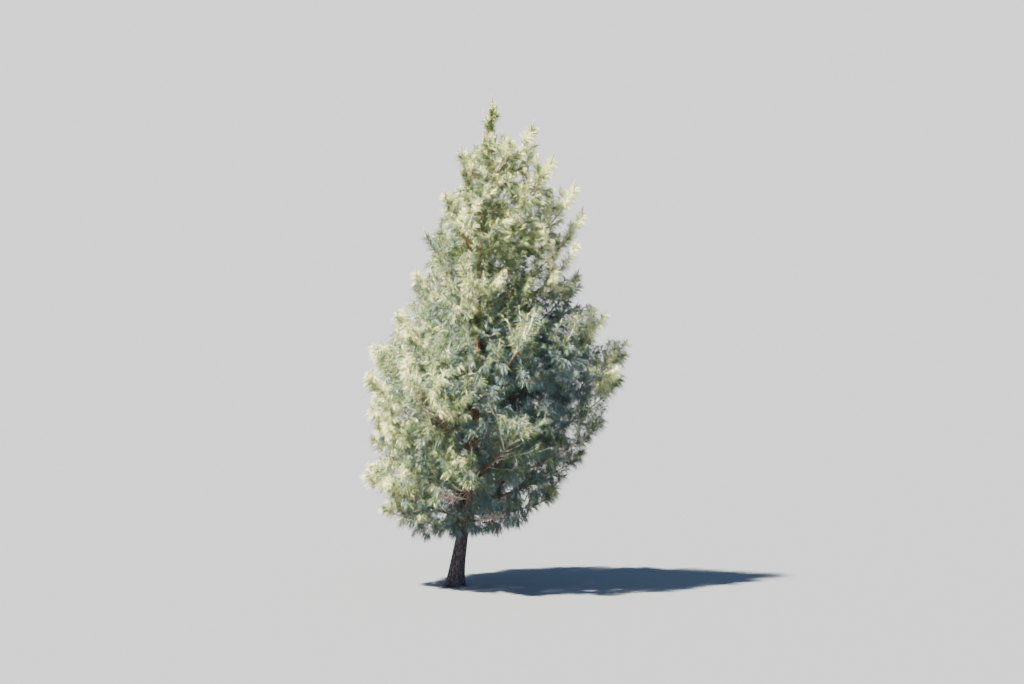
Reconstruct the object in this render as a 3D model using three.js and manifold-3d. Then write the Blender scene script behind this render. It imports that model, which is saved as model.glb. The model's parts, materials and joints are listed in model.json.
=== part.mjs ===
// A young long-needled pine, grown in the open, as separate closed solids.
// Millimetres, +Z up. The origin is the centre of the flat cut at ground level.
// +X is the side where the crown is fuller, -Y is the side it is seen from.
// Bearings run from +X towards +Y, so 0 is right, 90 back, 180 left and 270 front.
import * as THREE from 'three';
import Module from 'manifold-3d';

const wasm = await Module();
wasm.setup();

const UP = new THREE.Vector3(0, 0, 1);
const RIGHT = new THREE.Vector3(1, 0, 0);
const TURN = 2 * Math.PI;
const GOLDEN_TURN = 2.39996;
const CLEAR = 0.3;

// The trunk's line and taper: at each height, how far it has moved right and back, and its radius
const TRUNK = [
  { height: 0, right: 0, back: 0, radius: 166 },
  { height: 160, right: 24, back: 4, radius: 139 },
  { height: 420, right: 64, back: 9, radius: 115 },
  { height: 800, right: 125, back: 16, radius: 98 },
  { height: 2200, right: 290, back: 20, radius: 79 },
  { height: 3500, right: 345, back: 0, radius: 57 },
  { height: 5300, right: 412, back: -25, radius: 32 },
  { height: 6400, right: 505, back: -12, radius: 17 },
  { height: 7500, right: 600, back: 0, radius: 7 },
];
const HEIGHT_OVER_ALL = TRUNK[TRUNK.length - 1].height;
const TRUNK_TOP = 6560;
const TRUNK_SIDES = 12;
const ROOT_LOBES = 5;
const ROOT_LOBE_SHARE = 0.17;
const ROOT_LOBE_FADE = 170;

// The crown's outline: its reach from the trunk's line to the left and right at each height,
// and how steeply a bough with its tip there climbs, as rise over reach
const CROWN = [
  { height: 700, left: 700, right: 600, climb: 0.2 },
  { height: 1150, left: 1230, right: 1150, climb: 0.24 },
  { height: 1700, left: 1600, right: 1560, climb: 0.4 },
  { height: 2400, left: 1570, right: 1990, climb: 0.52 },
  { height: 3400, left: 1640, right: 2330, climb: 0.68 },
  { height: 4100, left: 1240, right: 1930, climb: 0.78 },
  { height: 4700, left: 960, right: 1540, climb: 0.82 },
  { height: 5600, left: 720, right: 1520, climb: 0.92 },
  { height: 6100, left: 480, right: 1270, climb: 1.0 },
  { height: 6500, left: 400, right: 960, climb: 1.05 },
  { height: 7000, left: 260, right: 600, climb: 1.12 },
  { height: 7500, left: 60, right: 90, climb: 1.2 },
];
const CROWN_DEPTH_SHARE = 0.92;

// The boughs stand in four ranks. Each starts at the trunk and is placed by the height of its tip.
const RANKS = [
  { side: 'right', bearing: 0, wander: 0.26,
    tips: [1350, 1950, 2500, 3050, 3620, 4060, 4600, 5120, 5540, 5940, 6400, 6900] },
  { side: 'left', bearing: Math.PI, wander: 0.26,
    tips: [1150, 1650, 2150, 2650, 3120, 3560, 4080, 4660, 5260, 5880, 6520] },
  { side: 'back', bearing: Math.PI / 2, wander: 0.6,
    tips: [1500, 2200, 2950, 3700, 4500, 5400, 6450] },
  { side: 'front', bearing: 1.5 * Math.PI, wander: 0.6,
    tips: [1850, 2550, 3250, 4000, 4800, 5700, 6750] },
];
const LIMB_TIPS_BELOW = 3800;
const LIMB_SIDES = 6;
const LIMB_STEPS = 4;
const BARE_SHARE = 0.3;
const STEEP_WITHIN = 600;
const BEND_ALONG = 0.58;
const BEND_RISE = 0.4;
const LIMB_RADIUS_LEAST = 9;
const LIMB_RADIUS_PER_LENGTH = 0.0066;
const LIMB_TIP_RADIUS = 5;
const COLLAR_SHARE = 0.55;
const COLLAR_LENGTH = 70;

// Foliage: plumes of needles that stand on a stem, which goes on from a bough's tip
const STEM_SIDES = 3;
const STEM_STEPS = 4;
const STEM_END_SHARE = 0.88;
const PLUME_SPACING = 254;
const PLUME_LEAST = 4;
const PLUME_LENGTH = 780;
const PLUME_TAPER = 0.35;
const PLUME_SPREAD = 0.98;
const PLUME_FLATNESS = 0.75;
const PLUME_UPTURN = 0.2;
const PLUME_LIFT = 0.2;
const PLUME_SIDES = 3;
const PLUME_BARE_SHARE = 0.14;
const PLUME_NEEDLE_STEPS = 2;
const PLUME_RADIUS = 11;
const PLUME_TWIST = 0.7;
const NEEDLE_LENGTH = 250;
const NEEDLE_LEAST_SHARE = 0.4;
const NEEDLE_LEAN = 0.72;
const NEEDLE_DROOP = 0.32;
const SHORTER_TRIES = [1, 0.8, 0.62];
const TURNED_TRIES = [0, 0.8, -0.8, 1.6, -1.6];
const SPACE_MARGIN = 14;
const LIMB_MARGIN = 12;
const LONG_STEM = 1250;

// The leading shoot at the top, and the side shoots that stand close round it
const LEADER_NEEDLE_RISE = 90;
const LEADER_NEEDLE_REACH = 105;
const LEADER_SHOOTS = 5;
const LEADER_SHOOT_LENGTH = 440;
const LEADER_SHOOT_LEAN = 0.42;
const LEADER_SHOOT_RADIUS = 8;
const LEADER_SHOOT_NEEDLE = 170;

// Dead limbs near the foot of the crown: height, bearing, length and climb
const DEAD_LIMBS = [
  { name: 'dead_limb_left', height: 1330, bearing: 3.75, length: 520, climb: 0.1 },
  { name: 'dead_limb_right', height: 1020, bearing: 5.85, length: 560, climb: 0.12 },
];
const DEAD_LIMB_RADIUS = 11;
const DEAD_TWIG_SHARES = [0.42, 0.62, 0.8];

// The value of one column of a table at a height, on a smooth line through its rows
function through(rows, key, height) {
  const last = rows.length - 1;
  let k = 0;
  while (k < last - 1 && height > rows[k + 1].height) k++;
  const slope = (i) => {
    const a = rows[Math.max(0, i - 1)];
    const b = rows[Math.min(last, i + 1)];
    return (b[key] - a[key]) / (b.height - a.height);
  };
  const span = rows[k + 1].height - rows[k].height;
  const t = (height - rows[k].height) / span;
  const t2 = t * t;
  const t3 = t2 * t;
  return (2 * t3 - 3 * t2 + 1) * rows[k][key] + (t3 - 2 * t2 + t) * span * slope(k)
    + (3 * t2 - 2 * t3) * rows[k + 1][key] + (t3 - t2) * span * slope(k + 1);
}

// Repeatable numbers from 0 to 1
function dice(seed) {
  let state = seed;
  return () => {
    state = (state * 48271) % 2147483647;
    return state / 2147483647;
  };
}

function trunkPoint(height) {
  return new THREE.Vector3(through(TRUNK, 'right', height), through(TRUNK, 'back', height), height);
}

function trunkRadius(height) {
  return through(TRUNK, 'radius', height);
}

function horizontal(bearing) {
  return new THREE.Vector3(Math.cos(bearing), Math.sin(bearing), 0);
}

// The crown's reach from the trunk's line at a height and a bearing, its level section being an ellipse
function crownReach(height, bearing) {
  const left = through(CROWN, 'left', height);
  const right = through(CROWN, 'right', height);
  const across = Math.cos(bearing) < 0 ? left : right;
  const deep = CROWN_DEPTH_SHARE * (left + right) / 2;
  return 1 / Math.hypot(Math.cos(bearing) / across, Math.sin(bearing) / deep);
}

function insideCrown(point) {
  const from = point.clone().sub(trunkPoint(point.z));
  const lowest = CROWN[0].height;
  return point.z > lowest && point.z < HEIGHT_OVER_ALL
    && Math.hypot(from.x, from.y) < crownReach(point.z, Math.atan2(from.y, from.x));
}

// The distance from a point to a line of points
function distanceTo(line, point) {
  let least = Infinity;
  const near = new THREE.Vector3();
  for (let i = 0; i + 1 < line.length; i++) {
    new THREE.Line3(line[i], line[i + 1]).closestPointToPoint(point, true, near);
    least = Math.min(least, near.distanceTo(point));
  }
  return least;
}

// A tube of rings along a line of centres, closed by a cap at its root and by a cap or a point at its end.
// Each ring faces along the line, or the way that facing gives for it.
// Where needleAt gives a point for a face between two rings, that face is raised into a needle.
function sweep({ centres, radii, sides, facing, twist = 0, pointed = false, shape = () => 1, needleAt }) {
  const vertices = [];
  const triangles = [];
  const rings = [];
  const add = (p) => vertices.push(p.x, p.y, p.z) / 3 - 1;
  const along = facing ?? centres.map((c, i) => {
    const a = centres[Math.max(0, i - 1)];
    const b = centres[Math.min(centres.length - 1, i + 1)];
    return b.clone().sub(a).normalize();
  });
  const reference = Math.abs(along[0].z) < 0.9 ? UP : RIGHT;
  const ringCount = pointed ? centres.length - 1 : centres.length;
  for (let i = 0; i < ringCount; i++) {
    const u = reference.clone().cross(along[i]).normalize();
    const v = along[i].clone().cross(u);
    const ring = [];
    for (let j = 0; j < sides; j++) {
      const angle = TURN * j / sides + twist * i;
      const r = radii[i] * shape(angle, centres[i].z);
      ring.push(centres[i].clone()
        .addScaledVector(u, r * Math.cos(angle))
        .addScaledVector(v, r * Math.sin(angle)));
    }
    rings.push(ring);
  }
  const ids = rings.map((ring) => ring.map(add));
  for (let i = 0; i + 1 < ringCount; i++) {
    for (let j = 0; j < sides; j++) {
      const k = (j + 1) % sides;
      const corners = [ids[i][j], ids[i][k], ids[i + 1][k], ids[i + 1][j]];
      const middle = rings[i][j].clone().add(rings[i][k]).add(rings[i + 1][k]).add(rings[i + 1][j])
        .multiplyScalar(0.25);
      const outward = middle.clone().sub(centres[i].clone().lerp(centres[i + 1], 0.5)).normalize();
      const tip = needleAt ? needleAt(i, middle, outward, along[i]) : null;
      if (tip) {
        const apex = add(tip);
        corners.forEach((c, n) => triangles.push(c, corners[(n + 1) % 4], apex));
      } else {
        triangles.push(corners[0], corners[1], corners[2], corners[0], corners[2], corners[3]);
      }
    }
  }
  for (let j = 1; j + 1 < sides; j++) triangles.push(ids[0][0], ids[0][j + 1], ids[0][j]);
  const end = ids[ringCount - 1];
  if (pointed) {
    const apex = add(centres[centres.length - 1]);
    for (let j = 0; j < sides; j++) triangles.push(end[j], end[(j + 1) % sides], apex);
  } else {
    for (let j = 1; j + 1 < sides; j++) triangles.push(end[0], end[j], end[j + 1]);
  }
  return new wasm.Manifold(new wasm.Mesh({
    numProp: 3,
    vertProperties: new Float32Array(vertices),
    triVerts: new Uint32Array(triangles),
  }));
}

// The one body that is left once sealed hollows are filled and loose scraps are dropped
function oneBody(solid) {
  const bodies = solid.decompose();
  return bodies.reduce((a, b) => (b.volume() > a.volume() ? b : a));
}

function geometryOf(solid) {
  const { numProp, numVert, vertProperties, triVerts } = solid.getMesh();
  const positions = new Float32Array(numVert * 3);
  for (let i = 0; i < numVert; i++) {
    positions.set(vertProperties.subarray(i * numProp, i * numProp + 3), i * 3);
  }
  const geometry = new THREE.BufferGeometry();
  geometry.setAttribute('position', new THREE.BufferAttribute(positions, 3));
  geometry.setIndex(new THREE.BufferAttribute(new Uint32Array(triVerts), 1));
  geometry.computeVertexNormals();
  return geometry;
}

// Trunk
function trunkSolid(grownBy) {
  const heights = [0, 50, 160, 380];
  for (let h = 800; h < TRUNK_TOP; h += 430) heights.push(h);
  heights.push(TRUNK_TOP);
  const lobes = (angle, height) => 1
    + ROOT_LOBE_SHARE * Math.cos(ROOT_LOBES * angle) * Math.exp(-height / ROOT_LOBE_FADE);
  return sweep({
    centres: heights.map(trunkPoint),
    radii: heights.map((h) => trunkRadius(h) + grownBy),
    sides: TRUNK_SIDES,
    facing: heights.map(() => UP),
    shape: lobes,
  });
}

// The line of each bough and its foliage, from the trunk's middle to its furthest tip
function planBough(rank, index) {
  const tipHeight = rank.tips[index];
  const bearing = rank.bearing + rank.wander * Math.sin(GOLDEN_TURN * index);
  const reach = crownReach(tipHeight, bearing);
  const rise = Math.max(reach, STEEP_WITHIN) * through(CROWN, 'climb', tipHeight);
  const root = trunkPoint(tipHeight - rise);
  const tip = trunkPoint(tipHeight).addScaledVector(horizontal(bearing), reach);
  const bend = root.clone().lerp(tip, BEND_ALONG);
  bend.z = root.z + BEND_RISE * (tip.z - root.z);
  const curve = new THREE.QuadraticBezierCurve3(root, bend, tip);
  const limbed = tipHeight < LIMB_TIPS_BELOW;
  return {
    name: `${rank.side}_${index + 1}`,
    curve,
    length: root.distanceTo(bend) + bend.distanceTo(tip),
    stemFrom: limbed ? BARE_SHARE : 0,
    limbed,
  };
}

function boughRadius(plan, share) {
  const base = LIMB_RADIUS_LEAST + LIMB_RADIUS_PER_LENGTH * plan.length;
  return base + (LIMB_TIP_RADIUS - base) * share;
}

function sharesBetween(from, to, steps) {
  return Array.from({ length: steps + 1 }, (_, i) => from + (to - from) * i / steps);
}

function pointsBetween(curve, from, to, steps) {
  return sharesBetween(from, to, steps).map((s) => curve.getPoint(s));
}

// A limb swells into a collar where it leaves the trunk
function limbSolid(plan, trunkClear) {
  const shares = Array.from({ length: LIMB_STEPS + 1 }, (_, i) => plan.stemFrom * (i / LIMB_STEPS) ** 1.4);
  const centres = shares.map((s) => plan.curve.getPoint(s));
  const atTrunk = trunkRadius(centres[0].z);
  const radii = shares.map((s, i) => {
    const out = Math.max(0, centres[i].distanceTo(centres[0]) - atTrunk);
    return boughRadius(plan, s) * (1 + COLLAR_SHARE * Math.exp(-out / COLLAR_LENGTH));
  });
  const facing = shares.map((s) => plan.curve.getTangent(s));
  return oneBody(sweep({ centres, radii, facing, sides: LIMB_SIDES }).subtract(trunkClear));
}

// One plume: a bare twig that becomes a slim core with needles standing out of it on all sides
function plume(start, direction, length, radius, longest = NEEDLE_LENGTH) {
  const bare = PLUME_BARE_SHARE;
  const shares = [0];
  for (let i = 0; i <= PLUME_NEEDLE_STEPS; i++) shares.push(bare + (0.9 - bare) * i / PLUME_NEEDLE_STEPS);
  shares.push(1);
  const centres = shares.map((s) => start.clone()
    .addScaledVector(direction, length * s)
    .addScaledVector(UP, PLUME_UPTURN * length * s * s));
  const share = NEEDLE_LEAST_SHARE + (1 - NEEDLE_LEAST_SHARE) * length / PLUME_LENGTH;
  const needle = longest * Math.min(1, share);
  const tips = [];
  const solid = sweep({
    centres,
    radii: shares.map((s) => radius * (1 - 0.55 * s)),
    sides: PLUME_SIDES,
    twist: PLUME_TWIST,
    pointed: true,
    needleAt: (step, middle, outward, along) => {
      if (step === 0) return null;
      const tip = middle.clone()
        .addScaledVector(outward, needle * Math.cos(NEEDLE_LEAN))
        .addScaledVector(along, needle * Math.sin(NEEDLE_LEAN))
        .addScaledVector(UP, -needle * NEEDLE_DROOP);
      tips.push(tip, tip.clone().lerp(middle, 0.5));
      return tip;
    },
  });
  return { solid, reach: centres.slice(1).concat(tips) };
}

// Where the plumes of a mass stand on its stem and which way they point
function planPlumes(plan, seed) {
  const roll = dice(seed);
  const stemLength = plan.length * (1 - plan.stemFrom);
  const size = Math.min(1, 0.5 + 0.5 * stemLength / LONG_STEM);
  const count = Math.max(PLUME_LEAST, Math.round(stemLength / PLUME_SPACING));
  const plumes = [];
  for (let i = 0; i < count; i++) {
    const along = (i + 0.35 + 0.3 * roll()) / count;
    const share = plan.stemFrom + (1 - plan.stemFrom) * along * STEM_END_SHARE;
    const forward = plan.curve.getTangent(share);
    const side = forward.clone().cross(UP).normalize();
    const lift = side.clone().cross(forward);
    const turn = i * GOLDEN_TURN + 0.8 * (roll() - 0.5);
    const turned = (by) => forward.clone().multiplyScalar(Math.cos(PLUME_SPREAD))
      .addScaledVector(side, Math.sin(PLUME_SPREAD) * Math.cos(turn + by))
      .addScaledVector(lift, Math.sin(PLUME_SPREAD) * PLUME_FLATNESS * Math.sin(turn + by))
      .addScaledVector(UP, PLUME_LIFT).normalize();
    plumes.push({
      start: plan.curve.getPoint(share),
      directions: TURNED_TRIES.map(turned),
      length: size * PLUME_LENGTH * (1 - PLUME_TAPER * along) * (0.88 + 0.24 * roll()),
    });
  }
  const leaderShare = plan.stemFrom + (1 - plan.stemFrom) * 0.74;
  const leaderStart = plan.curve.getPoint(leaderShare);
  const leader = plan.curve.getPoint(1).sub(leaderStart);
  const length = leader.length();
  plumes.push({ start: leaderStart, directions: [leader.normalize()], length, leads: true });
  return plumes;
}

// A mass of foliage: a stem and its plumes, each kept nearer to its own stem than to any other
function massSolid(plan, seed, spaces, limbs, trunkClear) {
  const shares = sharesBetween(plan.stemFrom, STEM_END_SHARE, STEM_STEPS);
  const centres = shares.map((s) => plan.curve.getPoint(s));
  const radii = shares.map((s) => boughRadius(plan, s));
  const facing = shares.map((s) => plan.curve.getTangent(s));
  if (plan.limbed) centres[0].addScaledVector(facing[0], CLEAR);
  let solid = sweep({ centres, radii, facing, sides: STEM_SIDES, pointed: true });
  const others = spaces.filter((s) => s.name !== plan.name);
  const fits = (point) => {
    const own = distanceTo(plan.space, point) + SPACE_MARGIN;
    return others.every((s) => distanceTo(s.space, point) > own)
      && limbs.every((l) => distanceTo(l.line, point) > l.radius + LIMB_MARGIN)
      && insideCrown(point);
  };
  for (const { start, directions, length, leads } of planPlumes(plan, seed)) {
    const tries = SHORTER_TRIES.flatMap((share) => directions.map((direction) => ({ share, direction })));
    for (const { share, direction } of tries) {
      const made = plume(start, direction, length * share, PLUME_RADIUS);
      if (leads || made.reach.every(fits)) {
        solid = solid.add(made.solid);
        break;
      }
    }
  }
  return oneBody(plan.limbed ? solid : solid.subtract(trunkClear));
}

// The leading shoot goes on from the trunk's top, set with short needles and ringed by side shoots
function leaderSolid() {
  const heights = [TRUNK_TOP + CLEAR, ...sharesBetween(TRUNK_TOP + 130, HEIGHT_OVER_ALL - 130, 4)];
  let solid = sweep({
    centres: [...heights, HEIGHT_OVER_ALL].map(trunkPoint),
    radii: heights.map(trunkRadius),
    sides: 4,
    facing: heights.map(() => UP),
    pointed: true,
    needleAt: (step, middle, outward) => (step < 1 ? null : middle.clone()
      .addScaledVector(outward, LEADER_NEEDLE_REACH)
      .addScaledVector(UP, LEADER_NEEDLE_RISE)),
  });
  for (let i = 0; i < LEADER_SHOOTS; i++) {
    const share = i / LEADER_SHOOTS;
    const direction = horizontal(i * GOLDEN_TURN).multiplyScalar(Math.sin(LEADER_SHOOT_LEAN))
      .addScaledVector(UP, Math.cos(LEADER_SHOOT_LEAN));
    const start = trunkPoint(TRUNK_TOP + 50 + 300 * share);
    const length = LEADER_SHOOT_LENGTH * (1 - 0.35 * share);
    solid = solid.add(plume(start, direction, length, LEADER_SHOOT_RADIUS, LEADER_SHOOT_NEEDLE).solid);
  }
  return oneBody(solid);
}

// A dead limb: bare, with a few short twigs left on it
function deadLimbSolid({ height, bearing, length, climb }, trunkClear) {
  const root = trunkPoint(height);
  const out = horizontal(bearing);
  const full = length + trunkRadius(height);
  const pointAt = (s) => root.clone()
    .addScaledVector(out, full * s)
    .addScaledVector(UP, full * climb * s * s);
  const shares = [0, 0.3, 0.55, 0.8, 1];
  let solid = sweep({
    centres: shares.map(pointAt),
    radii: shares.map((s) => DEAD_LIMB_RADIUS * (1 - 0.65 * s)),
    sides: 5,
    pointed: true,
  });
  DEAD_TWIG_SHARES.forEach((share, i) => {
    const start = pointAt(share);
    const away = out.clone().applyAxisAngle(UP, (i % 2 ? 1 : -1) * 0.9).addScaledVector(UP, 0.35);
    const points = [0, 0.5, 1].map((s) => start.clone()
      .addScaledVector(away, 0.34 * length * s)
      .addScaledVector(UP, 0.1 * length * s * s));
    solid = solid.add(sweep({ centres: points, radii: [6, 4, 2], sides: 3, pointed: true }));
  });
  return oneBody(solid.subtract(trunkClear));
}

// Finishes
function finish(colour, roughness) {
  return new THREE.MeshStandardMaterial({ color: new THREE.Color(...colour), roughness, metalness: 0 });
}
const BARK = finish([0.17, 0.13, 0.11], 0.95);
const LIMB_BARK = finish([0.34, 0.19, 0.12], 0.9);
const DEAD_WOOD = finish([0.42, 0.33, 0.28], 0.9);
const NEEDLES = finish([0.33, 0.38, 0.24], 0.7);

const tree = new THREE.Group();
function show(name, solid, material) {
  const mesh = new THREE.Mesh(geometryOf(solid), material);
  mesh.name = name;
  tree.add(mesh);
}

const trunkClear = trunkSolid(CLEAR);
const plans = RANKS.flatMap((rank) => rank.tips.map((_, index) => planBough(rank, index)));
for (const plan of plans) plan.space = pointsBetween(plan.curve, plan.stemFrom, 1, 8);
const leaderSpace = { name: 'leader', space: [trunkPoint(TRUNK_TOP), trunkPoint(HEIGHT_OVER_ALL)] };
const spaces = [...plans, leaderSpace];
const trunkHeights = sharesBetween(0, TRUNK_TOP, 14);
const limbs = [
  ...trunkHeights.slice(1).map((h, i) => ({
    line: [trunkPoint(trunkHeights[i]), trunkPoint(h)],
    radius: trunkRadius(trunkHeights[i]),
  })),
  ...plans.filter((plan) => plan.limbed).map((plan) => ({
    line: pointsBetween(plan.curve, 0, plan.stemFrom, 5),
    radius: boughRadius(plan, 0),
  })),
  ...DEAD_LIMBS.map(({ height, bearing, length, climb }) => ({
    line: [trunkPoint(height), trunkPoint(height).addScaledVector(horizontal(bearing), 1.3 * length)
      .addScaledVector(UP, climb * length)],
    radius: 0.3 * length,
  })),
];

show('trunk', trunkSolid(0), BARK);
plans.forEach((plan, i) => {
  if (plan.limbed) show(`bough_${plan.name}`, limbSolid(plan, trunkClear), LIMB_BARK);
  show(`foliage_${plan.name}`, massSolid(plan, 101 + 37 * i, spaces, limbs, trunkClear), NEEDLES);
});
show('foliage_leader', leaderSolid(), NEEDLES);
for (const dead of DEAD_LIMBS) show(dead.name, deadLimbSolid(dead, trunkClear), DEAD_WOOD);

export default tree;
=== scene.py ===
# %% [markdown]
# # A young long-needled pine, from bark to needle tips
#
# The CAD model gives the tree as plain closed solids: a trunk, boughs, and masses of
# needles made of large blades. Here it is dressed: bark with real relief, and each mass
# grown again by the same rule, carried on to fine twigs, drooping needles and pale buds.
# All is in metres, and the origin is the middle of the flat cut at the ground.

# %% The frame
import math

import bpy
import json
import numpy as np
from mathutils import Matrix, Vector
from mathutils.kdtree import KDTree


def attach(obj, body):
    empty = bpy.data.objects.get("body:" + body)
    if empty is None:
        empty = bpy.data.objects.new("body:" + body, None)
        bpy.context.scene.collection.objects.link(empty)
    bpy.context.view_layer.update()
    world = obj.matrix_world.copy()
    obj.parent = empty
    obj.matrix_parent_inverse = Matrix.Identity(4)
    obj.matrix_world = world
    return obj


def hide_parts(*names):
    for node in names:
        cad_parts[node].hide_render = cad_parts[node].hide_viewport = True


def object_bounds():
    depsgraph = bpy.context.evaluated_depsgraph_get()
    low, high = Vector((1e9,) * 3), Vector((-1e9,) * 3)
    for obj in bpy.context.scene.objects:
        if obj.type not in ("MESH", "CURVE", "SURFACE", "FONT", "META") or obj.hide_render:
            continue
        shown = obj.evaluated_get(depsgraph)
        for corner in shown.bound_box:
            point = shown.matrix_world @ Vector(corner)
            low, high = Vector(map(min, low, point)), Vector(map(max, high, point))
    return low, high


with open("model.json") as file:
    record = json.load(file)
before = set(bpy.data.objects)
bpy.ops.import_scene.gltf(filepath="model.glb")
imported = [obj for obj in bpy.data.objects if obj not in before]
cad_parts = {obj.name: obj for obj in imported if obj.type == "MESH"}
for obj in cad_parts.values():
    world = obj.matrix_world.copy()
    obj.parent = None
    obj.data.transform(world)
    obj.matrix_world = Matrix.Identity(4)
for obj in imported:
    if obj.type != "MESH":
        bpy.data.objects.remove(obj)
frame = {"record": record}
solid_low, solid_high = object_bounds()
node_names = [node["node"] for node in frame["record"]["subparts"]]
print("solids:", len(node_names), "box", tuple(solid_low), tuple(solid_high))

# %% [markdown]
# ## The camera
#
# The photo was taken from far off with a long lens, so it has almost no perspective. The camera
# stands 129 m away, looks a few degrees down, and is aimed so that the tree's foot and tip fall
# where they do in the photo.

# %% The camera
IMAGE_WIDTH, IMAGE_HEIGHT = 1024, 684
FOOT_PIXEL = (454.0, 586.5)
TREE_PIXELS = 491.9
TREE_HEIGHT = 7.5
CAMERA_ELEVATION = math.radians(6)
CAMERA_LENS = 300.0
SENSOR_WIDTH = 36.0

seen_height = TREE_HEIGHT * math.cos(CAMERA_ELEVATION)
pixels_per_metre = TREE_PIXELS / seen_height
camera_distance = IMAGE_WIDTH / pixels_per_metre * CAMERA_LENS / SENSOR_WIDTH
target = Vector((
    (IMAGE_WIDTH / 2 - FOOT_PIXEL[0]) / pixels_per_metre,
    0,
    (FOOT_PIXEL[1] - IMAGE_HEIGHT / 2) / pixels_per_metre / math.cos(CAMERA_ELEVATION),
))
backwards = Vector((0, -math.cos(CAMERA_ELEVATION), math.sin(CAMERA_ELEVATION)))
bpy.ops.object.camera_add(location=target + backwards * camera_distance)
camera = bpy.context.object
camera.rotation_euler = (math.pi / 2 - CAMERA_ELEVATION, 0, 0)
camera.data.lens = CAMERA_LENS
camera.data.sensor_width = SENSOR_WIDTH
camera.data.clip_end = 1000
bpy.context.scene.camera = camera
print("pixels per metre", round(pixels_per_metre, 2), "camera distance", round(camera_distance, 1))

# %% [markdown]
# ## The tree's measures
#
# These are the values that the solids were made from. A row of the trunk holds a height, the
# shift to the right and back, and the radius. A row of the crown holds a height, the reach to
# the left and right, and a bough's climb. Boughs stand in four ranks, by the heights of their
# tips.

# %% The tree's measures
TRUNK = np.array([
    [0.00, 0.000, 0.000, 0.166],
    [0.16, 0.024, 0.004, 0.139],
    [0.42, 0.064, 0.009, 0.115],
    [0.80, 0.125, 0.016, 0.098],
    [2.20, 0.290, 0.020, 0.079],
    [3.50, 0.345, 0.000, 0.057],
    [5.30, 0.412, -0.025, 0.032],
    [6.40, 0.505, -0.012, 0.017],
    [7.50, 0.600, 0.000, 0.007],
])
RIGHT_SHIFT, BACK_SHIFT, RADIUS = 1, 2, 3
CROWN = np.array([
    [0.70, 0.70, 0.60, 0.20],
    [1.15, 1.23, 1.15, 0.24],
    [1.70, 1.60, 1.56, 0.40],
    [2.40, 1.57, 1.99, 0.52],
    [3.40, 1.64, 2.33, 0.68],
    [4.10, 1.24, 1.93, 0.78],
    [4.70, 0.96, 1.54, 0.82],
    [5.60, 0.72, 1.52, 0.92],
    [6.10, 0.48, 1.27, 1.00],
    [6.50, 0.40, 0.96, 1.05],
    [7.00, 0.26, 0.60, 1.12],
    [7.50, 0.06, 0.09, 1.20],
])
LEFT_REACH, RIGHT_REACH, CLIMB = 1, 2, 3
CROWN_DEPTH_SHARE = 0.92
RANKS = [
    ("right", 0.0, 0.26,
     [1.35, 1.95, 2.5, 3.05, 3.62, 4.06, 4.6, 5.12, 5.54, 5.94, 6.4, 6.9]),
    ("left", math.pi, 0.26,
     [1.15, 1.65, 2.15, 2.65, 3.12, 3.56, 4.08, 4.66, 5.26, 5.88, 6.52]),
    ("back", math.pi / 2, 0.6, [1.5, 2.2, 2.95, 3.7, 4.5, 5.4, 6.45]),
    ("front", 1.5 * math.pi, 0.6, [1.85, 2.55, 3.25, 4.0, 4.8, 5.7, 6.75]),
]
GOLDEN_TURN = 2.39996
TRUNK_TOP = 6.56
LIMB_TIPS_BELOW = 3.8
BARE_SHARE = 0.3
STEEP_WITHIN = 0.6
BEND_ALONG, BEND_RISE = 0.58, 0.4
UP = np.array([0.0, 0.0, 1.0])


def through(rows, column, height):
    """The value of a column at a height, on a smooth line through the table's rows."""
    heights, values = rows[:, 0], rows[:, column]
    slopes = np.empty(len(rows))
    slopes[1:-1] = (values[2:] - values[:-2]) / (heights[2:] - heights[:-2])
    slopes[0] = (values[1] - values[0]) / (heights[1] - heights[0])
    slopes[-1] = (values[-1] - values[-2]) / (heights[-1] - heights[-2])
    k = np.clip(np.searchsorted(heights, height) - 1, 0, len(rows) - 2)
    span = heights[k + 1] - heights[k]
    t = (height - heights[k]) / span
    rise = (3 - 2 * t) * t * t
    return ((1 - rise) * values[k] + rise * values[k + 1]
            + t * (1 - t) * span * ((1 - t) * slopes[k] - t * slopes[k + 1]))


def trunk_point(height):
    height = np.asarray(height, float)
    return np.stack([through(TRUNK, RIGHT_SHIFT, height),
                     through(TRUNK, BACK_SHIFT, height), height], axis=-1)


def crown_reach(height, bearing):
    """The crown's level section is an ellipse round the trunk, with a half for each side."""
    left = through(CROWN, LEFT_REACH, height)
    right = through(CROWN, RIGHT_REACH, height)
    across = np.where(np.cos(bearing) < 0, left, right)
    deep = CROWN_DEPTH_SHARE * (left + right) / 2
    return 1 / np.hypot(np.cos(bearing) / across, np.sin(bearing) / deep)


def unit(vectors):
    return vectors / np.linalg.norm(vectors, axis=-1, keepdims=True)


print("reach at 3.4 m, right and left:",
      crown_reach(3.4, 0.0).round(2), crown_reach(3.4, math.pi).round(2))

# %% [markdown]
# ## The line of every bough
#
# A bough leaves the trunk, runs out and up, and turns up at its end, on a bent line with three
# control points. It starts in the middle of the trunk and ends at the crown's outline.

# %% The line of every bough
LIMB_RADIUS_LEAST = 0.009
LIMB_RADIUS_PER_LENGTH = 0.0066
LIMB_TIP_RADIUS = 0.005


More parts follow.
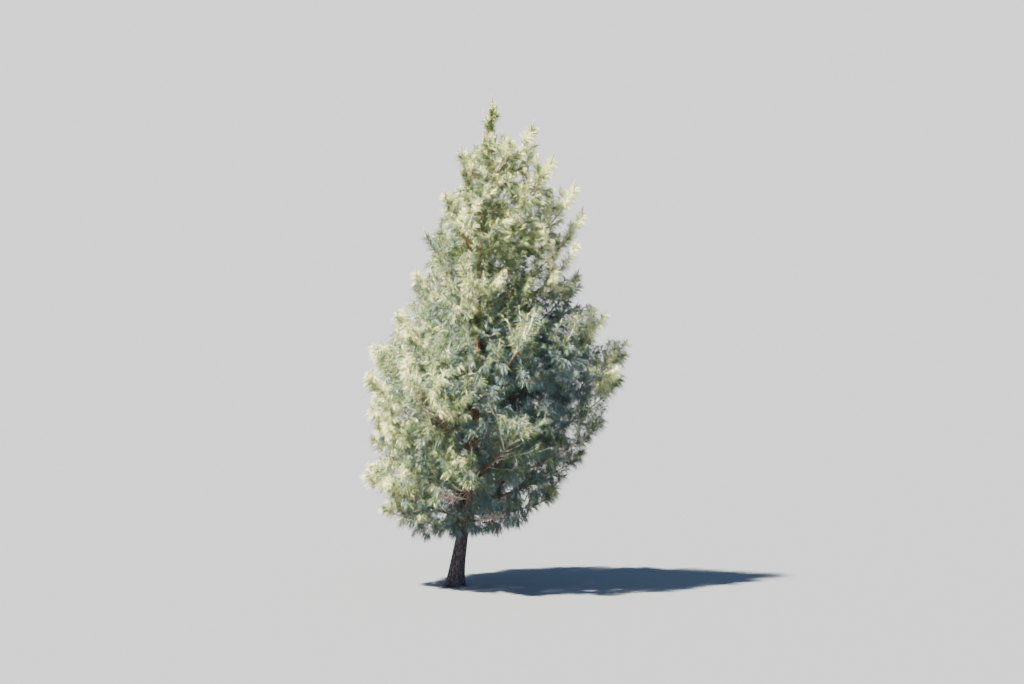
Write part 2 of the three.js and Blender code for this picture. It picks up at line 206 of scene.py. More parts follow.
class Bough:
    def __init__(self, side, bearing, wander, tips, index):
        tip_height = tips[index]
        bearing = bearing + wander * math.sin(GOLDEN_TURN * index)
        reach = float(crown_reach(tip_height, bearing))
        rise = max(reach, STEEP_WITHIN) * float(through(CROWN, CLIMB, tip_height))
        out = np.array([math.cos(bearing), math.sin(bearing), 0])
        self.root = trunk_point(tip_height - rise)
        self.tip = trunk_point(tip_height) + out * reach
        self.bend = self.root + (self.tip - self.root) * BEND_ALONG
        self.bend[2] = self.root[2] + BEND_RISE * (self.tip[2] - self.root[2])
        self.name = f"{side}_{index + 1}"
        self.stem_from = BARE_SHARE if tip_height < LIMB_TIPS_BELOW else 0.0
        self.length = float(np.linalg.norm(self.bend - self.root)
                            + np.linalg.norm(self.tip - self.bend))
        self.stem_length = self.length * (1 - self.stem_from)

    def on_stem(self, share):
        """The share of the whole line, for a share of the part that bears plumes."""
        return self.stem_from + (1 - self.stem_from) * share

    def point(self, share):
        s = np.asarray(share, float)[..., None]
        return (1 - s) ** 2 * self.root + 2 * s * (1 - s) * self.bend + s * s * self.tip

    def heading(self, share):
        s = np.asarray(share, float)[..., None]
        return unit((1 - s) * (self.bend - self.root) + s * (self.tip - self.bend))

    def radius(self, share):
        base = LIMB_RADIUS_LEAST + LIMB_RADIUS_PER_LENGTH * self.length
        return base + (LIMB_TIP_RADIUS - base) * np.asarray(share, float)


boughs = [Bough(*rank, index) for rank in RANKS for index in range(len(rank[3]))]
longest = max(boughs, key=lambda bough: bough.length)
print(len(boughs), "boughs, the longest", longest.name, round(longest.length, 2), "m")

# %% [markdown]
# ## A limb, ring by ring
#
# Trunk and boughs are made as one would by hand: a filled disc is laid across the limb's line,
# then extruded and resized from ring to ring. The result is a closed, tapering solid.

# %% A limb, ring by ring
def choose(*pieces):
    """Selects these pieces alone, and makes the first one active."""
    bpy.ops.object.select_all(action="DESELECT")
    for piece in pieces:
        piece.select_set(True)
    bpy.context.view_layer.objects.active = pieces[0]


def apply_modifiers(piece):
    choose(piece)
    for modifier in list(piece.modifiers):
        bpy.ops.object.modifier_apply(modifier=modifier.name)


def grow_limb(name, centres, radii, sides, facing=None):
    chord = Vector(centres[-1] - centres[0] if facing is None else facing)
    bpy.ops.mesh.primitive_circle_add(
        vertices=sides, radius=radii[0], fill_type="NGON", location=centres[0],
        rotation=chord.to_track_quat("Z", "Y").to_euler())
    limb = bpy.context.object
    limb.name = limb.data.name = name
    bpy.ops.object.mode_set(mode="EDIT")
    for i in range(1, len(centres)):
        step = Vector(centres[i] - centres[i - 1])
        bpy.ops.mesh.extrude_region_move(TRANSFORM_OT_translate={"value": step})
        shrink = radii[i] / radii[i - 1]
        bpy.ops.transform.resize(value=(shrink, shrink, shrink), center_override=Vector(centres[i]))
    bpy.ops.mesh.select_all(action="SELECT")
    bpy.ops.mesh.normals_make_consistent(inside=False)
    bpy.ops.object.mode_set(mode="OBJECT")
    bpy.ops.object.transform_apply(location=True, rotation=True, scale=True)
    return limb


# %% [markdown]
# ## Bark relief
#
# A Voronoi pattern gives the bark's plates, stretched along the trunk by a long empty, and the
# Displace modifier pushes the mesh in at their edges. A vertex group lets the relief fade where
# the wood is thin.

# %% Bark relief
def raise_bark(piece, plate_size, depth, levels, pattern="VORONOI", fade=None):
    rounding = piece.modifiers.new("rounding", "SUBSURF")
    rounding.levels = levels
    apply_modifiers(piece)
    if fade is not None:
        group = piece.vertex_groups.new(name="relief")
        for vertex in piece.data.vertices:
            group.add([vertex.index], fade(vertex.co), "REPLACE")
    bpy.ops.object.empty_add()
    measure = bpy.context.object
    measure.scale = plate_size
    bpy.context.view_layer.update()
    texture = bpy.data.textures.new("plates", pattern)
    texture.noise_scale = 1.0
    if pattern == "VORONOI":
        texture.weight_1, texture.weight_2 = -1.0, 1.0
    relief = piece.modifiers.new("relief", "DISPLACE")
    relief.texture = texture
    relief.texture_coords = "OBJECT"
    relief.texture_coords_object = measure
    relief.strength = depth
    if fade is not None:
        relief.vertex_group = "relief"
    apply_modifiers(piece)
    bpy.data.objects.remove(measure)
    bpy.data.textures.remove(texture)


# %% [markdown]
# ## The trunk
#
# The trunk leans a little to the right as it leaves the ground and then straightens. It narrows
# from 0.23 m to a finger's width at the top, and spreads into five low lobes where the main
# roots go down.

# %% The trunk
TRUNK_SIDES = 24
TRUNK_RING_STEP = 0.082
ROOT_LOBES, ROOT_LOBE_SHARE, ROOT_LOBE_FADE = 5, 0.17, 0.17
BARK_PLATE = (0.03, 0.03, 0.085)
BARK_DEPTH = 0.011
FULL_BARK_RADIUS, BARK_FADE = 0.1, 1.3
FOOT_ROUNDED = 0.125 * TRUNK_RING_STEP
SHARPEST_SMOOTH = math.radians(50)

ring_count = round(TRUNK_TOP / TRUNK_RING_STEP)
heights = np.linspace(0, TRUNK_TOP, ring_count + 1)
trunk = grow_limb("trunk_bark", trunk_point(heights), through(TRUNK, RADIUS, heights),
                  TRUNK_SIDES, facing=(0, 0, 1))
for vertex in trunk.data.vertices:
    middle = trunk_point(vertex.co.z)
    x, y = vertex.co.x - middle[0], vertex.co.y - middle[1]
    swell = ROOT_LOBE_SHARE * math.exp(-vertex.co.z / ROOT_LOBE_FADE)
    swell *= math.cos(ROOT_LOBES * math.atan2(y, x))
    vertex.co.x += swell * x
    vertex.co.y += swell * y
sharp = trunk.data.attributes.new("crease_edge", "FLOAT", "EDGE")
for edge in trunk.data.edges:
    at_ground = all(trunk.data.vertices[i].co.z < 0.001 for i in edge.vertices)
    sharp.data[edge.index].value = float(at_ground)
raise_bark(
    trunk, BARK_PLATE, BARK_DEPTH, 2,
    fade=lambda co: min(1.0, float(through(TRUNK, RADIUS, co.z)) / FULL_BARK_RADIUS) ** BARK_FADE)
for vertex in trunk.data.vertices:
    if vertex.co.z < FOOT_ROUNDED:
        vertex.co.z = 0.0
bpy.ops.object.shade_smooth_by_angle(angle=SHARPEST_SMOOTH)
print("trunk:", len(trunk.data.polygons), "faces")

# %% [markdown]
# ## The boughs
#
# Each bough runs on through its mass of needles and swells into a collar at the trunk. Its bark
# is thinner, so the relief is only a millimetre or two of soft lumps.

# %% The boughs
BOUGH_SIDES = 10
BOUGH_RINGS = 13
BOUGH_END_SHARE = 0.93
RING_CROWDING = 1.15
COLLAR_SHARE, COLLAR_LENGTH = 0.55, 0.07
LUMP_SIZE = (0.03, 0.03, 0.03)
LUMP_DEPTH = 0.004

limbs = []
for bough in boughs:
    shares = BOUGH_END_SHARE * np.linspace(0, 1, BOUGH_RINGS) ** RING_CROWDING
    centres = bough.point(shares)
    out = np.linalg.norm(centres - centres[0], axis=1) - through(TRUNK, RADIUS, bough.root[2])
    collar = 1 + COLLAR_SHARE * np.exp(-np.maximum(out, 0) / COLLAR_LENGTH)
    limbs.append(grow_limb("bough", centres, bough.radius(shares) * collar, BOUGH_SIDES))
choose(*limbs)
bpy.ops.object.join()
bough_bark = bpy.context.object
bough_bark.name = bough_bark.data.name = "bough_bark"
raise_bark(bough_bark, LUMP_SIZE, LUMP_DEPTH, 1, pattern="CLOUDS")
bpy.ops.object.shade_smooth()
print("boughs:", len(bough_bark.data.polygons), "faces")

# %% [markdown]
# ## Meshes from arrays
#
# Twigs and needles are too many to model one by one, so they are worked out as arrays and put
# into a few large meshes. A twig is a closed tube, and a needle is a thin blade: two long
# triangles that meet where it is widest.

# %% Meshes from arrays
def mesh_piece(name, points, faces):
    """A piece from an array of points and a list of face arrays, one for each face size."""
    mesh = bpy.data.meshes.new(name)
    corners = np.concatenate([face.ravel() for face in faces])
    sizes = np.concatenate([np.full(len(face), face.shape[1]) for face in faces])
    starts = np.concatenate([[0], np.cumsum(sizes)[:-1]])
    mesh.vertices.add(len(points))
    mesh.vertices.foreach_set("co", points.astype(np.float32).ravel())
    mesh.loops.add(len(corners))
    mesh.loops.foreach_set("vertex_index", corners.astype(np.int32))
    mesh.polygons.add(len(sizes))
    mesh.polygons.foreach_set("loop_start", starts.astype(np.int32))
    mesh.update(calc_edges=True)
    piece = bpy.data.objects.new(name, mesh)
    bpy.context.scene.collection.objects.link(piece)
    print(name, "triangles:", int((sizes - 2).sum()))
    return piece


def tubes(centres, radii, sides):
    """Points and faces of many tubes; centres is tubes x rings x 3 and radii tubes x rings."""
    count, rings = radii.shape
    along = unit(np.gradient(centres, axis=1))
    reference = np.where(np.abs(along[:, :1, 2:]) < 0.9, UP, np.array([1.0, 0, 0]))
    u = unit(np.cross(reference, along))
    v = np.cross(along, u)
    angle = 2 * np.pi * np.arange(sides) / sides
    ring = (u[:, :, None] * np.cos(angle)[:, None] + v[:, :, None] * np.sin(angle)[:, None])
    points = centres[:, :, None] + ring * radii[:, :, None, None]
    ids = np.arange(count * rings * sides).reshape(count, rings, sides)
    after = np.roll(ids, -1, axis=2)
    walls = np.stack([ids[:, :-1], after[:, :-1], after[:, 1:], ids[:, 1:]], axis=-1)
    caps = np.concatenate([ids[:, 0, ::-1], ids[:, -1]])
    return points.reshape(-1, 3), [walls.reshape(-1, 4), caps]


def blades(corners):
    """Points and faces of many blades; corners holds each one's foot, two sides and tip."""
    ids = np.arange(len(corners) * 4).reshape(-1, 4)
    return corners.reshape(-1, 3), [np.concatenate([ids[:, [0, 1, 2]], ids[:, [2, 1, 3]]])]


# %% [markdown]
# ## A plume
#
# The needles stand in plumes: twigs set with needles all round, turned up at the end. In the
# solids a plume has a few large blades, and the room that they take is worked out here.

# %% A plume
PLUME_LENGTH, PLUME_UPTURN, PLUME_BARE_SHARE = 0.78, 0.2, 0.14
BLADE_LENGTH, BLADE_LEAST_SHARE = 0.25, 0.4
BLADE_LEAN, BLADE_DROOP = 0.72, 0.32


def plume_room(start, direction, length):
    """The points that a plume needs free: its line, and a ring of blades round each half."""
    s = np.array([0, PLUME_BARE_SHARE, (PLUME_BARE_SHARE + 0.9) / 2, 0.9, 1])[:, None]
    line = start + direction * length * s + UP * PLUME_UPTURN * length * s * s
    blade = BLADE_LENGTH * min(1, BLADE_LEAST_SHARE + (1 - BLADE_LEAST_SHARE) * length / PLUME_LENGTH)
    room = [line[1:]]
    for k in (1, 2):
        middle = (line[k] + line[k + 1]) / 2
        along = unit(line[k + 1] - line[k - 1])
        u = unit(np.cross(UP if abs(along[2]) < 0.9 else np.array([1.0, 0, 0]), along))
        v = np.cross(along, u)
        turn = 2 * np.pi * (np.arange(3) + 0.5) / 3 + 0.7 * (k + 0.5)
        outward = u * np.cos(turn)[:, None] + v * np.sin(turn)[:, None]
        reach = blade * (outward * math.cos(BLADE_LEAN) + along * math.sin(BLADE_LEAN)
                         - UP * BLADE_DROOP)
        room += [middle + reach, middle + reach / 2]
    return np.concatenate(room)


print("a plume needs", len(plume_room(np.zeros(3), UP, PLUME_LENGTH)), "free points")

# %% [markdown]
# ## Room in the crown
#
# Each bough's plumes keep to their own part of the crown: inside its outline, and nearer to
# their own stem than to any other.

# %% Room in the crown
SPACE_MARGIN = 0.014


def distances(points, starts, ends):
    """From each point to each straight piece of line."""
    line = ends - starts
    from_start = points[:, None] - starts
    t = np.clip((from_start * line).sum(-1) / (line * line).sum(-1), 0, 1)
    return np.linalg.norm(from_start - t[..., None] * line, axis=-1)


spaces = [bough.point(np.linspace(bough.stem_from, 1, 9)) for bough in boughs]
spaces.append(trunk_point([TRUNK_TOP, TREE_HEIGHT]))
space_starts = np.concatenate([line[:-1] for line in spaces])
space_ends = np.concatenate([line[1:] for line in spaces])
space_owner = np.repeat(np.arange(len(spaces)), [len(line) - 1 for line in spaces])


def out_and_reach(points):
    """How far out from the trunk points are, and how far out the crown reaches there."""
    away = points - trunk_point(points[:, 2])
    bearing = np.arctan2(away[:, 1], away[:, 0])
    return np.hypot(away[:, 0], away[:, 1]), crown_reach(points[:, 2], bearing)


def inside_crown(points, spare=0.0):
    out, reach = out_and_reach(points)
    return (out < reach + spare) & (points[:, 2] > CROWN[0, 0] - spare) & (points[:, 2] < TREE_HEIGHT)


def fits(points, owner):
    if not inside_crown(points).all():
        return False
    to_spaces = distances(points, space_starts, space_ends)
    own = to_spaces[:, space_owner == owner].min(axis=1)
    other = to_spaces[:, space_owner != owner].min(axis=1)
    return bool((other > own + SPACE_MARGIN).all())


print("straight pieces of stem:", len(space_starts))

# %% [markdown]
# ## Where the plumes stand
#
# As in the solids, plumes leave the bough at even steps, each turned by the golden angle from
# the last. One that has no room is turned or shortened, or left out. The last plume of each
# bough is its own tip.

# %% Where the plumes stand
PLUME, TIP, SIDE, STEM, GAP, LEADER = range(6)
STEM_END_SHARE = 0.88
PLUME_SPACING, PLUME_LEAST, LONG_STEM = 0.254, 4, 1.25
PLUME_TAPER, PLUME_SPREAD = 0.35, 0.98
PLUME_FLATNESS, PLUME_LIFT = 0.75, 0.2
TIP_PLUME_FROM = 0.74
SHORTER_TRIES = (1, 0.8, 0.62)
TURNED_TRIES = (0, 0.8, -0.8, 1.6, -1.6)


def dice(seed):
    """Repeatable numbers from 0 to 1, the same ones that placed the solids."""
    state = seed
    while True:
        state = (state * 48271) % 2147483647
        yield state / 2147483647


def plan_plumes(bough, seed):
    roll = dice(seed)
    size = min(1, 0.5 + 0.5 * bough.stem_length / LONG_STEM)
    count = max(PLUME_LEAST, math.floor(bough.stem_length / PLUME_SPACING + 0.5))
    for i in range(count):
        along = (i + 0.35 + 0.3 * next(roll)) / count
        share = bough.on_stem(along * STEM_END_SHARE)
        forward = bough.heading(share)
        side = unit(np.cross(forward, UP))
        lift = np.cross(side, forward)
        turn = i * GOLDEN_TURN + 0.8 * (next(roll) - 0.5)
        length = size * PLUME_LENGTH * (1 - PLUME_TAPER * along) * (0.88 + 0.24 * next(roll))
        directions = [
            unit(forward * math.cos(PLUME_SPREAD)
                 + side * math.sin(PLUME_SPREAD) * math.cos(turn + by)
                 + lift * math.sin(PLUME_SPREAD) * PLUME_FLATNESS * math.sin(turn + by)
                 + UP * PLUME_LIFT)
            for by in TURNED_TRIES]
        yield bough.point(share), directions, length


plumes = []
for owner, bough in enumerate(boughs):
    for start, directions, length in plan_plumes(bough, 101 + 37 * owner):
        tries = [(length * shorter, way) for shorter in SHORTER_TRIES for way in directions]
        fit = next((t for t in tries if fits(plume_room(start, t[1], t[0]), owner)), None)
        if fit:
            plumes.append((start, fit[1], fit[0], PLUME))
    leader_start = bough.point(bough.on_stem(TIP_PLUME_FROM))
    leader = bough.tip - leader_start
    plumes.append((leader_start, unit(leader), float(np.linalg.norm(leader)), TIP))
print("plumes:", len(plumes))

# %% [markdown]
# ## Finer shoots
#
# Here the rule goes on where the solids stop. All shoots are kept as arrays: where each starts,
# which way it heads, how long it is and how far it turns up. The plumes come first.

# %% Finer shoots
grain = np.random.default_rng(20)


def around(axis, spread, turn=None):
    """Directions that stand at an angle to an axis, at a turn round it or at any turn."""
    turn = grain.uniform(0, 2 * np.pi, len(axis)) if turn is None else turn
    u = unit(np.cross(axis, UP + 1e-3))
    v = np.cross(u, axis)
    return (axis * np.cos(spread)[:, None]
            + (u * np.cos(turn)[:, None] + v * np.sin(turn)[:, None]) * np.sin(spread)[:, None])


class Shoots:
    PARTS = ("kind", "start", "way", "length", "upturn")

    def __init__(self, kind, start, way, length, upturn):
        self.start, self.way, self.length = np.array(start), np.array(way), np.array(length)
        self.kind = np.broadcast_to(kind, len(length)).copy()
        self.upturn = np.broadcast_to(upturn, len(length)).copy()

    def point(self, which, share):
        run = (self.length[which] * share)[..., None]
        rise = (self.upturn[which] * self.length[which] * share ** 2)[..., None]
        return self.start[which] + self.way[which] * run + UP * rise

    def heading(self, which, share):
        return unit(self.way[which] + UP * (2 * self.upturn[which] * share)[..., None])

    def lines(self, shares):
        """The points of every shoot at some shares of its length."""
        every = np.arange(len(self.length))[:, None]
        return self.point(every, np.broadcast_to(shares, (len(every), len(shares))))

    def count(self):
        print("shoots:", len(self.length), "total length", round(float(self.length.sum())), "m")

    def tips(self, share=1.0):
        return self.lines([share])[:, 0]

    def only(self, chosen):
        return Shoots(*(getattr(self, part)[chosen] for part in self.PARTS))

    def joined(self, other):
        return Shoots(*(np.concatenate([getattr(self, part), getattr(other, part)])
                        for part in self.PARTS))


starts, ways, lengths, kinds = zip(*plumes)
shoots = Shoots(kinds, starts, ways, lengths, PLUME_UPTURN)
shoots.count()

# %% [markdown]
# ## Bare wood in the photo
#
# In a few places the photo shows bare wood. Four are round windows before the trunk, each with
# its shift to the right, its height, and half its width and height. Two are stretches of a
# bough. The camera looks down a little, so what is nearer to it hides what is lower.

# %% Bare wood in the photo
WINDOWS = [(-0.18, 1.34, 0.27, 0.19), (0.38, 1.01, 0.24, 0.07),
           (0.01, 2.62, 0.06, 0.08), (0.0, 2.17, 0.05, 0.14)]
WINDOW_BACK = 0.05
CAMERA_SLOPE = 0.105
BARE_STRETCHES = [("front_3", 0.35, 0.85), ("front_2", 0.18, 0.62)]
BARE_HALF_WIDTH, BARE_BACK = 0.04, 0.03


def outerness(points):
    """0 at the trunk and 1 at the crown's outline."""
    out, reach = out_and_reach(points)
    return out / reach


def in_window(points, size=1.0):
    level = points[:, 2] + CAMERA_SLOPE * points[:, 1]
    away = points[:, 0] - trunk_point(level)[:, 0]
    inside = np.zeros(len(points), bool)
    for across, up, half_width, half_height in WINDOWS:
        inside |= np.hypot((away - across) / half_width, (level - up) / half_height) < size
    return inside & (points[:, 1] < WINDOW_BACK)


def before_bare_bough(points):
    level = points[:, 2] + CAMERA_SLOPE * points[:, 1]
    hiding = np.zeros(len(points), bool)
    for name, low, high in BARE_STRETCHES:
        bough = next(bough for bough in boughs if bough.name == name)
        for spot in bough.point(np.linspace(low, high, 24)):
            aside = np.hypot(points[:, 0] - spot[0], level - spot[2] - CAMERA_SLOPE * spot[1])
            hiding |= (aside < BARE_HALF_WIDTH) & (points[:, 1] < spot[1] + BARE_BACK)
    return hiding


print("plumes' tips before bare wood:", int(in_window(shoots.tips()).sum()))

# %% [markdown]
# ## Side shoots and stem shoots
#
# Every plume carries side shoots, and the bough carries short ones between the plumes, more of
# them low down. A shoot that would leave the crown's outline is shortened or left out. One low
# tuft stands in front of the trunk.

# %% Side shoots and stem shoots
SHOOTS_PER_METRE = 5.0
STEM_SHOOTS_PER_METRE = 8.0
LOW_BELOW, LOW_MORE = 2.2, 1.8
SIDE_SHOOT_SHARE = (0.34, 0.66)
STEM_SHOOT_LENGTH = (0.16, 0.36)
SHOOT_UPTURN = (0.2, 0.5)
SHORTENED = 0.75
SPIKE_HEIGHTS, SPIKE_SHARES = (4.4, 5.2), (1.1, 0.85)
LOW_TUFT_LENGTH, LOW_TUFT_UPTURN = 0.26, 0.25
LOW_TUFT_HEIGHTS = (1.06, 1.0, 1.03, 1.12)
LOW_TUFT_WAYS = [(0.15, -1, -0.1), (-0.5, -0.9, 0), (0.6, -0.8, 0.1), (0.05, -1, 0.2)]


def within_outline(shoots):
    """Shortens the shoots that would leave the crown, and drops those that still would."""
    for _ in range(2):
        outside = ~inside_crown(shoots.tips(1.08))
        shoots.length = np.where(outside, shoots.length * SHORTENED, shoots.length)
    tips = shoots.tips()
    room = np.interp(tips[:, 2], SPIKE_HEIGHTS, SPIKE_SHARES)
    return shoots.only(inside_crown(tips, spare=0.03) & (outerness(tips) < room) & ~in_window(tips))


each = np.round(shoots.length * SHOOTS_PER_METRE).astype(int)
parent = np.repeat(np.arange(len(plumes)), each)
count = len(parent)
place = grain.uniform(0.12, 0.86, count)
narrow = np.interp(shoots.point(parent, place)[:, 2], [4.0, 5.5], [1.0, 0.6])
way = around(shoots.heading(parent, place), narrow * grain.uniform(0.55, 1.05, count))
size = shoots.length[parent] * grain.uniform(*SIDE_SHOOT_SHARE, count) * (1.1 - 0.5 * place)
side_shoots = Shoots(SIDE, shoots.point(parent, place), unit(way + UP * 0.22), size,
                     grain.uniform(*SHOOT_UPTURN, count))

start, way = [], []
for bough in boughs:
    denser = LOW_MORE if bough.tip[2] < LOW_BELOW else 1
    count = round(bough.stem_length * STEM_SHOOTS_PER_METRE * denser)
    share = bough.on_stem(grain.uniform(0.02, 0.95, count))
    start.append(bough.point(share))
    way.append(around(bough.heading(share), grain.uniform(0.7, 1.2, count)))
start, way = np.concatenate(start), np.concatenate(way)
stem_shoots = Shoots(STEM, start, unit(way + UP * 0.25),
                     grain.uniform(*STEM_SHOOT_LENGTH, len(start)),
                     grain.uniform(*SHOOT_UPTURN, len(start)))
low_shoots = Shoots(STEM, [trunk_point(height) for height in LOW_TUFT_HEIGHTS],
                    unit(np.array(LOW_TUFT_WAYS)),
                    np.full(len(LOW_TUFT_WAYS), LOW_TUFT_LENGTH), LOW_TUFT_UPTURN)
for more in (within_outline(side_shoots), within_outline(stem_shoots), low_shoots):
    shoots = shoots.joined(more)
shoots.count()

# %% [markdown]
# ## Shoots into the gaps
#
# Points are scattered through the crown, and wherever one finds no shoot near, a new shoot
# grows to it from a twig below or beside it. The outermost part is left to the plumes, so that
# they stand out. The middle stays bare, as does the room round the dead limbs.

# %% Shoots into the gaps
GAP_POINTS = 26000
GAP_WIDTH, GAP_WIDTH_TOP = 0.165, 0.105
BEHIND_CLOSER = 0.8
GAP_SHOOT_LONGEST = 0.95
NEAR_WOOD = 40
FALL_COST, INWARD_COST, LEAST_CLIMB = 0.8, 0.6, 0.3
GAP_UPTURN = 0.1
FILLED_LEFT, FILLED_RIGHT, FILLED_TOP_RIGHT = 0.9, 0.82, 0.76
GAP_BOX = [(-1.6, 2.7), (-1.9, 1.9), (0.8, 6.7)]
BARE_HEIGHTS, BARE_SHARES = (1.2, 2.4, 4.5, 5.6), (0.14, 0.2, 0.12, 0.0)
DEAD_LIMBS = [(1.33, 3.75, 0.52, 0.1), (1.02, 5.85, 0.56, 0.12)]
DEAD_ROOM = 0.12


def finder(places):
    """A tree that finds the places nearest to a point."""
    tree = KDTree(len(places))
    for i, place in enumerate(places):
        tree.insert(place, i)
    tree.balance()
    return tree


def from_stem(place):
    return math.hypot(*(place - Vector(trunk_point(place.z))).xy)


def dead_line(height, bearing, length, climb, share):
    out = np.array([math.cos(bearing), math.sin(bearing), 0])
    full = length + float(through(TRUNK, RADIUS, height))
    s = np.asarray(share, float)[..., None]
    return trunk_point(height) + out * full * s + UP * full * climb * s * s


points = np.stack([grain.uniform(low, high, GAP_POINTS) for low, high in GAP_BOX], axis=1)
share = outerness(points)
on_right = np.interp(points[:, 2], [1.4, 1.8, 4.0, 5.0],
                     [FILLED_LEFT, FILLED_RIGHT, FILLED_RIGHT, FILLED_TOP_RIGHT])
filled = np.where(points[:, 0] < trunk_point(points[:, 2])[:, 0], FILLED_LEFT, on_right)
bare = np.interp(points[:, 2], BARE_HEIGHTS, BARE_SHARES)
points = points[(share < filled) & (share > bare) & ~in_window(points)]
for limb in DEAD_LIMBS:
    line = dead_line(*limb, np.linspace(0, 1, 9))
    points = points[distances(points, line[:-1], line[1:]).min(axis=1) > DEAD_ROOM]

twig_points = [bough.point(np.linspace(bough.stem_from, 0.95, 24)) for bough in boughs]
twig_points.insert(0, shoots.lines(np.linspace(0.05, 1, 9)).reshape(-1, 3))
wood, taken = finder(np.concatenate(twig_points)), finder(points)
free = np.ones(len(points), bool)
starts, ends = [], []
for i, place in enumerate(points):
    near = wood.find_n(place, NEAR_WOOD)
    width = np.interp(place[2], (4.5, 5.5), (GAP_WIDTH, GAP_WIDTH_TOP))
    width *= np.interp(place[1], (-0.2, 0.2), (1, BEHIND_CLOSER))
    if not free[i] or near[0][2] < width:
        continue
    out = np.hypot(*(place - trunk_point(place[2]))[:2])
    costs = [d + FALL_COST * max(0.0, co.z - place[2] + LEAST_CLIMB * d)
             + INWARD_COST * max(0.0, from_stem(co) - out + LEAST_CLIMB * d)
             for co, _, d in near]
    best = near[int(np.argmin(costs))]
    if best[2] > GAP_SHOOT_LONGEST:
        continue
    starts.append(np.array(best[0]))
    ends.append(place)
    for spot in starts[-1] + (place - starts[-1]) * np.linspace(0.3, 1, 5)[:, None]:
        for _, j, _ in taken.find_range(spot, width):
            free[j] = False
print("gap shoots:", len(starts))

starts, ends = np.array(starts), np.array(ends)
lengths = np.linalg.norm(ends - starts, axis=1)
ways = (ends - starts) / lengths[:, None] - UP * GAP_UPTURN
shoots = shoots.joined(Shoots(GAP, starts, ways, lengths * 1.05, GAP_UPTURN))
shoots.count()

# %% [markdown]
# ## The leading shoot
#
# The tree ends in upright shoots that go on from the trunk, ringed by five side shoots. They
# join the same arrays, so they get the same twigs, needles and buds.

# %% The leading shoot
LEADER_SHOOTS = 5
LEADER_SHOOT_LENGTH, LEADER_SHOOT_LEAN = 0.24, 0.42
LEADER_LINES = [(6.55, 0.0, 7.37), (6.85, 0.0, 7.28), (6.96, 0.07, 7.19), (6.94, -0.085, 7.1),
                (7.0, 0.0, 7.22), (6.6, 0.02, 6.95), (6.7, -0.02, 7.08)]
start, way, size = [], [], []
for i in range(LEADER_SHOOTS):
    share = i / LEADER_SHOOTS
    bearing = i * GOLDEN_TURN
    start.append(trunk_point(TRUNK_TOP - 0.05 + 0.16 * share))
    way.append((math.cos(bearing) * math.sin(LEADER_SHOOT_LEAN),
                math.sin(bearing) * math.sin(LEADER_SHOOT_LEAN), math.cos(LEADER_SHOOT_LEAN)))
    size.append(LEADER_SHOOT_LENGTH * (1 - 0.35 * share))
for low, aside, high in LEADER_LINES:
    start.append(trunk_point(low))
    end = trunk_point(high) + np.array([aside, 0.3 * aside, 0])
    size.append(np.linalg.norm(end - start[-1]))
    way.append((end - start[-1]) / size[-1])
shoots = shoots.joined(Shoots(LEADER, start, way, size, 0.0))
shoots.count()

# %% [markdown]
# ## Twigs
#
# Each shoot's wood is a thin tube that tapers towards the bud. On the outside of the crown the
# twigs are this year's, thicker and pale with bloom, and lighter still as a painted highlight
# along the shoots. Further in they are brown.

# %% Twigs
TWIG_RADIUS = np.array([0.0062, 0.0062, 0.0038, 0.0038, 0.0042, 0.009])
YOUNG_RADIUS = np.array([0.0085, 0.0115, 0.0065, 0.0065, 0.0065, 0.0095])
YOUNG_FROM_SHARE, YOUNG_ABOVE = 0.72, 6.0
rings = np.array([0, 0.33, 0.66, 1.0])
centres = shoots.lines(rings)
tips = shoots.tips()
young = (outerness(tips) > YOUNG_FROM_SHARE) | (tips[:, 2] > YOUNG_ABOVE)
young &= shoots.kind != GAP
radii = np.where(young, YOUNG_RADIUS[shoots.kind], TWIG_RADIUS[shoots.kind])
radii = radii[:, None] * (1 - 0.55 * rings)
old_twigs = mesh_piece("old_twigs", *tubes(centres[~young], radii[~young], 4))
young_twigs = mesh_piece("young_twigs", *tubes(centres[young], radii[young], 4))

# %% [markdown]
# ## Buds
#
# In the photo pale, upright buds stand at the ends of the shoots, longest at the top of the
# tree. Each is a short spindle, at the tip of a shoot that reaches the crown's outside.

# %% Buds
BUD_LENGTH, TOP_BUD_LENGTH = 0.055, 0.2
BUD_RADIUS, BUD_THICKER = 0.0085, 0.7
BUD_SHARES = np.array([0, 0.3, 0.8, 1.0])
BUD_SHAPE = np.array([0.7, 1.0, 0.6, 0.08])
BUDDED_FROM_SHARE, BUDDED_ABOVE = 0.8, 6.6
LONGER_FROM, LONGER_OVER = 3.0, 2.5
tips = shoots.tips(0.97)
budded = (outerness(tips) > BUDDED_FROM_SHARE) | (tips[:, 2] > BUDDED_ABOVE) | (shoots.kind == LEADER)
budded = np.flatnonzero(budded)
height_share = np.clip((tips[budded, 2] - LONGER_FROM) / LONGER_OVER, 0, 1)
leading = np.isin(shoots.kind[budded], (TIP, LEADER))
height_share *= np.where(leading, 1.0, 0.3) * grain.uniform(0.6, 1, len(budded))
bud_length = BUD_LENGTH + (TOP_BUD_LENGTH - BUD_LENGTH) * height_share
bud_way = unit(shoots.way[budded] * 0.5 + UP + 0.12 * grain.normal(size=(len(budded), 3)))
centres = tips[budded][:, None] + bud_way[:, None] * (bud_length[:, None] * BUD_SHARES)[..., None]
radii = BUD_RADIUS * BUD_SHAPE * grain.uniform(0.75, 1.1, (len(budded), 1))
radii *= 1 + BUD_THICKER * height_share[:, None]
buds = mesh_piece("buds", *tubes(centres, radii, 5))

# %% [markdown]
# ## Needles
#
# The needles leave the shoot at a slant in soft sprays, bend where they are widest, and droop.
# They are fewer than on the real tree, so each is a few times as wide, and wider still inside
# the crown. On the upswept shoots at the top they are shorter and point forward. One before
# bare wood, or beyond the solids' box, is left out.

